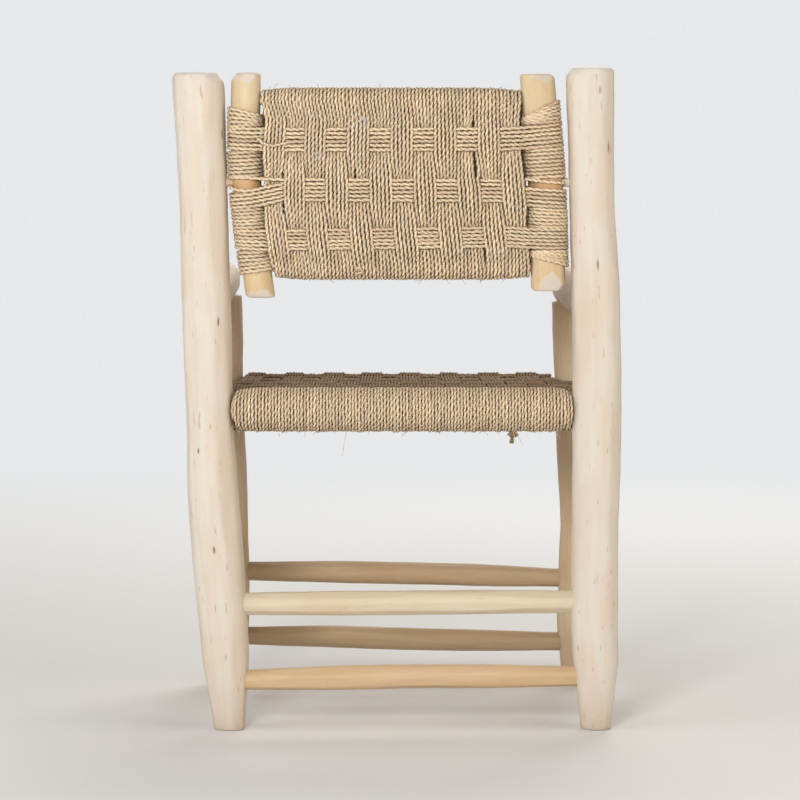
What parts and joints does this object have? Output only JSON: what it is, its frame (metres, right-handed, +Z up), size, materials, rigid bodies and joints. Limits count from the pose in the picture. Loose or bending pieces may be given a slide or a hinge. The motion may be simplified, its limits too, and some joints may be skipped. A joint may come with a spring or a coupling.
{
  "type": "reclining wooden armchair",
  "caption": "Rustic armchair of whittled branches with a woven rope seat and a rope-woven back panel that tilts on wooden pegs between the rear posts.",
  "frame": {"origin": "on the floor, under the middle of the chair's outline", "axes": "+Z up, +Y the way the sitter faces, +X the sitter's right"},
  "size_m": [0.6142, 0.5192, 0.9],
  "materials": {
    "pale_wood": "debarked and whittled, unfinished",
    "yellow_wood": "debarked and whittled, unfinished",
    "straw_rope": "two-ply twisted straw rope"
  },
  "bodies": {
    "frame": {"rear_post_left": "pale_wood", "rear_post_right": "pale_wood", "front_leg_left": "pale_wood", "front_leg_right": "pale_wood", "armrest_left": "pale_wood", "armrest_right": "pale_wood", "seat_rail_rear": "pale_wood", "seat_rail_front": "pale_wood", "seat_rail_left": "pale_wood", "seat_rail_right": "pale_wood", "stretcher_rear_upper": "pale_wood", "stretcher_rear_lower": "pale_wood", "stretcher_front_upper": "pale_wood", "stretcher_front_lower": "pale_wood", "stretcher_left_upper": "pale_wood", "stretcher_left_lower": "pale_wood", "stretcher_right_upper": "pale_wood", "stretcher_right_lower": "pale_wood", "seat_warp": "straw_rope", "seat_weft": "straw_rope", "seat_wrap_left_1": "straw_rope", "seat_wrap_left_2": "straw_rope", "seat_wrap_left_3": "straw_rope", "seat_wrap_left_4": "straw_rope", "seat_wrap_left_5": "straw_rope", "seat_wrap_right_1": "straw_rope", "seat_wrap_right_2": "straw_rope", "seat_wrap_right_3": "straw_rope", "seat_wrap_right_4": "straw_rope", "seat_wrap_right_5": "straw_rope"},
    "back_panel": {"back_stile_left": "yellow_wood", "back_stile_right": "yellow_wood", "back_rail_top": "yellow_wood", "back_rail_bottom": "yellow_wood", "pivot_peg_left": "yellow_wood", "pivot_peg_right": "yellow_wood", "back_warp": "straw_rope", "back_weft_1": "straw_rope", "back_weft_2": "straw_rope", "back_weft_3": "straw_rope", "back_winding_left_1": "straw_rope", "back_winding_left_2": "straw_rope", "back_winding_left_3": "straw_rope", "back_winding_left_4": "straw_rope", "back_winding_right_1": "straw_rope", "back_winding_right_2": "straw_rope", "back_winding_right_3": "straw_rope", "back_winding_right_4": "straw_rope"}
  },
  "joints": [
    {"name": "back_tilt", "type": "hinge", "parent": "frame", "child": "back_panel", "pos_m": [0, -0.225, 0.7475], "axis": [1, 0, 0], "range_deg": [-45, 45]}
  ]
}
